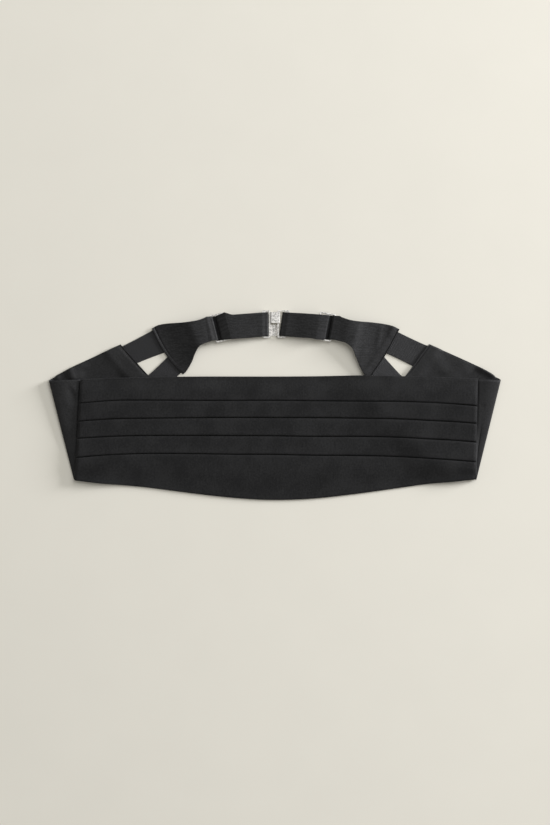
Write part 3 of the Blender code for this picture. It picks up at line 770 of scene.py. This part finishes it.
class StrapFrame:
    """Places points given along a strap (from the clasp), across it and up."""

    def __init__(self, side):
        facts = STRAPS[side]
        outward = OUTWARD[side]
        drop = math.radians(facts["drop"])
        self.end = Vector(facts["end"])
        self.along = Vector((outward * math.cos(drop), -math.sin(drop)))
        self.across = Vector((outward * math.sin(drop), math.cos(drop)))
        for key in ("slider", "slant", "tilt", "bump", "sag"):
            setattr(self, key, facts[key])

    def place(self, along, across, z):
        slant = self.slant * (1.0 - smoothstep(along, *SLANT_RUN)) + self.tilt * smoothstep(along, *TILT_RUN)
        spot = self.end + self.along * (along + slant * across) + self.across * across
        return Vector((spot.x, spot.y, z))


def strap_path(slider, side):
    """The strap's middle line (along, z): from the tab through the slider to the clasp and back."""
    outer, inner = slider + BAR_PITCH, slider - BAR_PITCH
    double_wrap = BAR_WRAP + LAYER
    rise = math.degrees(math.asin(LAYER / BAR_PITCH))
    turn_at = LOOP_RADIUS + CLOTH / 2
    settle_at = turn_at + CLASP_SETTLE
    wrap = arc((outer, SLIDER_Z), BAR_WRAP, WRAP_START, 180, 7)
    path = level_run(outer + TAB_DIP_REACH, wrap[0][0], wrap[0][1] + TAB_DIP[side], wrap[0][1], 9) + wrap[1:]
    path += arc((outer - BAR_WRAP - double_wrap, SLIDER_Z), double_wrap, 0, -90, 8)[1:]
    path += arc((slider, SLIDER_Z), double_wrap, -90, -180 + WEAVE_ANGLE, 5)
    path += arc((inner, SLIDER_Z), BAR_WRAP, WEAVE_ANGLE, 90, 6)
    path += level_run(inner, settle_at, SLIDER_Z + BAR_WRAP, CLOTH / 2, 22)
    path += arc((turn_at, LOOP_Z), LOOP_RADIUS, 270, 90, 12)
    knee = LOOP_Z + LOOP_RADIUS + KNEE_RISE[side]
    path += level_run(turn_at, KNEE_AT[side], LOOP_Z + LOOP_RADIUS, knee, 10)
    path += level_run(KNEE_AT[side], inner, knee, SLIDER_Z + double_wrap, 16)
    path += arc((inner, SLIDER_Z), double_wrap, 90, 90 - rise, 2)[1:]
    path += arc((slider, SLIDER_Z), BAR_WRAP, 90 - rise, TAIL_ANGLE, 14)
    return path


def tab_sections(side):
    """The tab's sections at even steps, on smooth curves through the table's rows."""
    table = [(float(i), *row) for i, row in enumerate(TABS[side])]
    last = len(table) - 1
    for k in range(TAB_STEPS[0] + 1):
        s = last * k / TAB_STEPS[0]
        yield [read_table(table, s, c) for c in range(1, 8)]


def make_tab(side, material):
    """The shaped tab and its strap, as one sheet: rows run across it, from the wide edge on."""
    frame_of = StrapFrame(side)
    across_steps = TAB_STEPS[1]
    rows = []
    shares = [j / across_steps for j in range(across_steps + 1)]
    outward = OUTWARD[side]
    for top_x, top_y, bottom_x, bottom_y, top_z, bottom_z, bow in tab_sections(side):
        top, bottom = Vector((top_x, top_y, top_z)), Vector((bottom_x, bottom_y, bottom_z))
        out = Vector((top_y - bottom_y, bottom_x - top_x, 0.0)).normalized()
        if out.x * outward < 0:
            out.negate()
        row = [top.lerp(bottom, v) + out * bow * math.sin(math.pi * v) for v in shares]
        for j, point in enumerate(row):
            if point.y > TAB_OPEN_Y:
                point.z += relief(TAB_CREASES[side], point.x, point.y)
            from_edge = (point - rows[0][j]).xy.length if rows else 0.0
            for at, half, above, below in TAB_WELTS[side]:
                point.z += lerp(above, below, shares[j]) * math.exp(-((from_edge - at) / half) ** 2)
        rows.append(row)
    path = strap_path(frame_of.slider, side)
    turned_back = next(i for i, (along, _) in enumerate(path) if along < LOOP_RADIUS)
    for i, (along, z) in enumerate(path):
        half = (STRAP_WIDTH - CLASP_NARROWING * (1.0 - smoothstep(along, *NARROWING_RUN))) / 2
        on_top = i > turned_back and z > SLIDER_Z + BAR_WRAP - GAP
        away = abs(along - frame_of.slider + BUMP_CENTER[side])
        share = 1.0 - smoothstep(away, 0.0, BUMP_REACH) if on_top else 0.0
        top, bottom = half + frame_of.bump * share, -half - frame_of.sag * share
        rows.append([frame_of.place(along, lerp(top, bottom, v), z) for v in shares])
    piece = cloth(f"tab_{side}_satin", rows, material, thickness=TAB_WALL)
    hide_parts("tab_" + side)
    width, length, area = cut_size(rows)


# ---- the metal ----

BEVEL_ANGLE = 35  # the least turn of a metal edge that is rounded
SMOOTH_ANGLE = 40
SLIDER_ROUNDING = {"corner": 2.0, "window": 0.8, "edge": 0.45}
CLASP_ROUNDING = {"corner": 0.9, "slot": 0.6, "edge": 0.22}
WINDOW_REACH = 2.0  # how far the windows' cutters reach up and down
SLOT_REACH = 1.0  # how far the slots' go past the plate


def block(name, low, high):
    """A block between two corners, in millimetres."""
    low, high = Vector(low), Vector(high)
    deselect()
    bpy.ops.mesh.primitive_cube_add(size=1.0, location=(low + high) / 2 * MM)
    piece = bpy.context.object
    piece.name = piece.data.name = name
    piece.scale = (high - low) * MM
    bpy.ops.object.transform_apply()
    return piece


def edit_chosen(piece, kind, choose, operator, **settings):
    """Runs one edit-mode operator on the vertices or edges that choose() picks."""
    activate(piece)
    set_mode("EDIT")
    bpy.ops.mesh.select_mode(type=kind)
    bpy.ops.mesh.select_all(action="DESELECT")
    set_mode("OBJECT")
    for element in piece.data.vertices if kind == "VERT" else piece.data.edges:
        element.select = choose(element)
    set_mode("EDIT")
    operator(**settings)
    set_mode("OBJECT")


def reshape(piece, choose, operator, **settings):
    """Does so with the vertices that choose() picks by their place in millimetres."""
    edit_chosen(piece, "VERT", lambda vertex: choose(vertex.co / MM), operator, **settings)


def round_corners(piece, radius, segments=4):
    """Rounds the four upright edges of a block."""
    def upright(edge):
        a, b = (piece.data.vertices[i].co for i in edge.vertices)
        return (a - b).xy.length < NEAR * MM

    edit_chosen(piece, "EDGE", upright, bpy.ops.mesh.bevel, offset=radius * MM, segments=segments)


def combine(piece, other, operation):
    """Cuts or joins another piece and removes it."""
    apply_modifier(piece, "BOOLEAN", operation=operation, solver="EXACT", object=other)
    bpy.data.objects.remove(other, do_unlink=True)


def soften(piece, width, segments=3):
    apply_modifier(piece, "BEVEL", width=width * MM, segments=segments, limit_method="ANGLE",
                   angle_limit=math.radians(BEVEL_ANGLE))
    activate(piece)
    bpy.ops.object.shade_smooth_by_angle(angle=math.radians(SMOOTH_ANGLE))
    apply_modifier(piece, "WEIGHTED_NORMAL", keep_sharp=True)


def make_slider(side, material):
    """A flat frame with two windows, which leave its three bars."""
    name = f"slider_{side}_plated"
    half_length, half_height = BAR_PITCH + BAR_SIDE / 2, SLIDER_HEIGHT / 2
    half_bar = BAR_SIDE / 2
    piece = block(name, (-half_length, -half_height, -half_bar), (half_length, half_height, half_bar))
    round_corners(piece, SLIDER_ROUNDING["corner"])
    for sign in (-1, 1):
        near, far = sorted((sign * half_bar, sign * (BAR_PITCH - half_bar)))
        window = block("window", (near, -half_height + BAR_SIDE, -WINDOW_REACH),
                       (far, half_height - BAR_SIDE, WINDOW_REACH))
        round_corners(window, SLIDER_ROUNDING["window"], 3)
        combine(piece, window, "DIFFERENCE")
    soften(piece, SLIDER_ROUNDING["edge"])
    frame_of = StrapFrame(side)
    spot = frame_of.place(frame_of.slider, SLIDER_OFFSET, SLIDER_Z)
    outward = OUTWARD[side]
    turn = math.atan2(frame_of.along.y, frame_of.along.x) - outward * math.atan(frame_of.tilt)
    piece.data.transform(Matrix.Translation(spot * MM) @ Matrix.Rotation(turn, 4, "Z"))
    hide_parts("slider_" + side)
    settle(piece, material)


CLASP_OUTLINE = {  # left, bottom, right and top of the frame and its slot
    "left": {"frame": (-12.6, 67.7, -4.4, 95.1), "slot": (-8.6, 68.9, -6.0, 93.9), "spread": 0.0},
    "right": {"frame": (2.5, 67.8, 11.0, 95.2), "slot": (4.2, 69.0, 7.2, 94.0), "spread": 3.8},
}
TONGUE_PLATE = 1.0
TONGUE_TIP = 0.2  # how far the left tongue's tip bends down
OVER_BAR = LOOP_Z + CLASP_PLATE + GAP
UNDER_BAR = LOOP_Z - CLASP_PLATE - GAP
TONGUES = {
    "left": {"y": (82.5, 93.3), "path": ((-5.2, LOOP_Z), (-4.6, LOOP_Z), (-3.6, OVER_BAR),
                                         (4.5, OVER_BAR), (5.1, OVER_BAR - TONGUE_TIP))},
    "right": {"y": (69.6, 80.7), "path": ((3.4, LOOP_Z), (2.3, LOOP_Z), (0.6, UNDER_BAR),
                                          (-5.6, UNDER_BAR))},
}


def bent_strip(name, y_range, path, thickness):
    """A flat strip along X that is extruded bend by bend."""
    low_y, high_y = y_range
    x0, z0 = path[0]
    half = thickness / 2
    piece = block(name, (x0 - NEAR, low_y, z0 - half), (x0, high_y, z0 + half))
    for (x_from, z_from), (x_to, z_to) in zip(path, path[1:]):
        step = Vector((x_to - x_from, 0.0, z_to - z_from)) * MM
        forward = 1 if x_to > x_from else -1
        reach = max(forward * v.co.x for v in piece.data.vertices) / MM
        reshape(piece, lambda p: forward * p.x > reach - NEAR / 2, bpy.ops.mesh.extrude_region_move,
                TRANSFORM_OT_translate={"value": step})
    activate(piece)
    set_mode("EDIT")
    bpy.ops.mesh.select_all(action="SELECT")
    bpy.ops.mesh.normals_make_consistent(inside=False)
    set_mode("OBJECT")
    return piece


def make_clasp(side, material):
    """A stamped half: a frame round the strap's slot, and a tongue that hooks the other half."""
    low, high = LOOP_Z - CLASP_PLATE / 2, LOOP_Z + CLASP_PLATE / 2
    outline, tongue = CLASP_OUTLINE[side], TONGUES[side]
    left, bottom, right, top = outline["frame"]
    piece = block(f"clasp_{side}_plated", (left, bottom, low), (right, top, high))
    slot_left, slot_bottom, slot_right, slot_top = outline["slot"]
    slot = block("slot", (slot_left, slot_bottom, low - SLOT_REACH),
                 (slot_right, slot_top, high + SLOT_REACH))
    if outline["spread"]:
        for shape, edge_x in ((piece, right), (slot, slot_right)):
            middle = (bottom + top) / 2
            reshape(shape, lambda p: p.x > edge_x - NEAR and p.y > middle, bpy.ops.transform.translate,
                    value=(outline["spread"] * MM, 0.0, 0.0))
    round_corners(piece, CLASP_ROUNDING["corner"], 3)
    round_corners(slot, CLASP_ROUNDING["slot"], 3)
    combine(piece, slot, "DIFFERENCE")
    combine(piece, bent_strip("tongue", tongue["y"], tongue["path"], TONGUE_PLATE), "UNION")
    soften(piece, CLASP_ROUNDING["edge"], 2)
    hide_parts("clasp_" + side)
    settle(piece, material)


# ---- stitches ----

STITCH_PITCH = 2.4
STITCH_LENGTH = 0.36  # half of a stitch, as a share of the pitch
STITCH_WIDTH = 0.34
STITCH_SUNK = 0.12  # how far its middle lies below the cloth's surface
STITCH_INSET = 3.2  # distance of the row from the hem
STITCH_START = 0.03  # share of the row that is left free at the top
STITCH_END_Y = 31.0  # where the row goes under the front


def stitch_row(name, points, pitch, thickness, material):
    """A row of small stitches along a line of points, modelled once and copied along it."""
    deselect()
    bpy.ops.mesh.primitive_uv_sphere_add(segments=8, ring_count=5, radius=1.0)
    pattern = bpy.context.object
    pattern.scale = (STITCH_LENGTH * pitch * MM, thickness / 2 * MM, thickness / 2 * MM)
    bpy.ops.object.transform_apply()
    joined = bmesh.new()
    carried = 0.5 * pitch
    for a, b in zip(points, points[1:]):
        size = (b - a).length
        while carried < size:
            spot = a.lerp(b, carried / size)
            turn = (b - a).to_track_quat("X", "Z").to_matrix().to_4x4()
            before = len(joined.verts)
            joined.from_mesh(pattern.data)
            joined.verts.ensure_lookup_table()
            added = joined.verts[before:]
            bmesh.ops.transform(joined, matrix=Matrix.Translation(spot * MM) @ turn, verts=added)
            carried += pitch
        carried -= size
    mesh = bpy.data.meshes.new(name)
    joined.to_mesh(mesh)
    joined.free()
    bpy.data.objects.remove(pattern, do_unlink=True)
    mesh.shade_smooth()
    settle(add_object(name, mesh), material)


def hem_stitches(side, material):
    layout = WINGS[side]
    top, bottom = Vector((*layout["hem_top"], 0.0)), Vector((*layout["hem_bottom"], 0.0))
    inward = -OUTWARD[side]
    away = Vector((-(top - bottom).y, (top - bottom).x, 0.0)).normalized()
    if away.x * inward > 0:
        away.negate()
    rise = Vector((0.0, 0.0, CLOTH / 2 + HEM_LIFT[side] + WING_WALL / 2 - STITCH_SUNK))
    shift = away * STITCH_INSET
    share = 1.0 - (top.y - STITCH_END_Y) / (top.y - bottom.y)
    end = bottom.lerp(top, share)
    points = [top.lerp(end, STITCH_START) + shift + rise, end + shift + rise]
    stitch_row(f"wing_{side}_hem_stitches", points, STITCH_PITCH, STITCH_WIDTH, material)


# ---- floor, light and camera ----

CAMERA_LENS = 85.0
CAMERA_SENSOR = 36.0
PICTURE_HEIGHT = 825  # the photograph's long side, in pixels
PICTURE_MIDDLE = (0.15, -6.9)  # the point of the floor in the middle of the picture, in mm
MM_PER_PIXEL = 1.0
CAMERA_REACH = 20.0  # in metres, as are the floor and the softboxes
FLOOR_SIZE = 12.0
PAPER_SHADE = (0.80, 0.772, 0.690)
SKY_SHADE = (1.0, 0.985, 0.94, 1.0)
SKY_STRENGTH = 0.345
SOFTBOXES = (  # name, azimuth, elevation, distance, size, radiance and colour
    ("key", 20.0, 13.5, 3.8, (1.2, 1.0), 52.0, (1.0, 1.0, 1.03)),
    ("window", 50.0, 53.0, 3.8, (2.9, 2.9), 2.42, (0.99, 1.0, 1.01)),
)


def make_camera():
    camera = bpy.data.cameras.new("camera")
    camera.lens = CAMERA_LENS
    camera.sensor_width = CAMERA_SENSOR
    holder = add_object("camera", camera)
    distance = PICTURE_HEIGHT * MM_PER_PIXEL * CAMERA_LENS / CAMERA_SENSOR
    holder.location = Vector((*PICTURE_MIDDLE, distance)) * MM
    camera.clip_end = CAMERA_REACH
    bpy.context.scene.camera = holder


def softbox(name, azimuth, elevation, distance, size, radiance, shade):
    """An area light that faces the garment, given its radiance."""
    light = bpy.data.lights.new(name, "AREA")
    light.shape = "RECTANGLE"
    light.size, light.size_y = size
    light.energy = radiance * math.pi * size[0] * size[1]
    light.color = shade
    holder = add_object(name, light)
    turn, rise = math.radians(azimuth), math.radians(elevation)
    toward = Vector((math.cos(turn) * math.cos(rise), math.sin(turn) * math.cos(rise), math.sin(rise)))
    holder.location = toward * distance
    holder.rotation_euler = toward.to_track_quat("Z", "Y").to_euler()


def make_studio():
    deselect()
    bpy.ops.mesh.primitive_plane_add(size=FLOOR_SIZE, location=(0.0, 0.0, 0.0))
    floor = bpy.context.object
    floor.name = "floor"
    floor.data.materials.append(paper("pale_paper", PAPER_SHADE))
    world = bpy.data.worlds.new("studio")
    world.use_nodes = True
    sky = world.node_tree.nodes["Background"].inputs
    sky["Color"].default_value = SKY_SHADE
    sky["Strength"].default_value = SKY_STRENGTH
    bpy.context.scene.world = world
    for facts in SOFTBOXES:
        softbox(*facts)
    bpy.context.scene.view_settings.view_transform = "Standard"


def main():
    make_camera()
    make_studio()
    front = satin("front_satin", (0.0094, 0.0094, 0.0098), (0.0176, 0.0176, 0.0181), turn=90.0, shine=0.12)
    side_cloth = satin("side_satin", (0.0085, 0.0085, 0.0089), (0.0168, 0.0168, 0.0175), turn=20.0)
    strap_cloth = satin("strap_satin", (0.0062, 0.0062, 0.0065), (0.0170, 0.0170, 0.0178), streaks=0.5)
    webbing = ribbed_elastic("ribbed_elastic", (0.0095, 0.0095, 0.0103), (0.0245, 0.0245, 0.0262))
    sewing = thread("black_thread", (0.030, 0.030, 0.030))
    plate = nickel("nickel_plate", (0.46, 0.45, 0.43), (0.88, 0.86, 0.83), 0.55)
    for name, corners in ELASTICS.items():
        make_elastic(name, corners, webbing)
    for side in ("left", "right"):
        make_wing(side, side_cloth)
        make_slider(side, plate)
        make_tab(side, strap_cloth)
        make_clasp(side, plate)
        hem_stitches(side, sewing)
    make_front(front)


main()
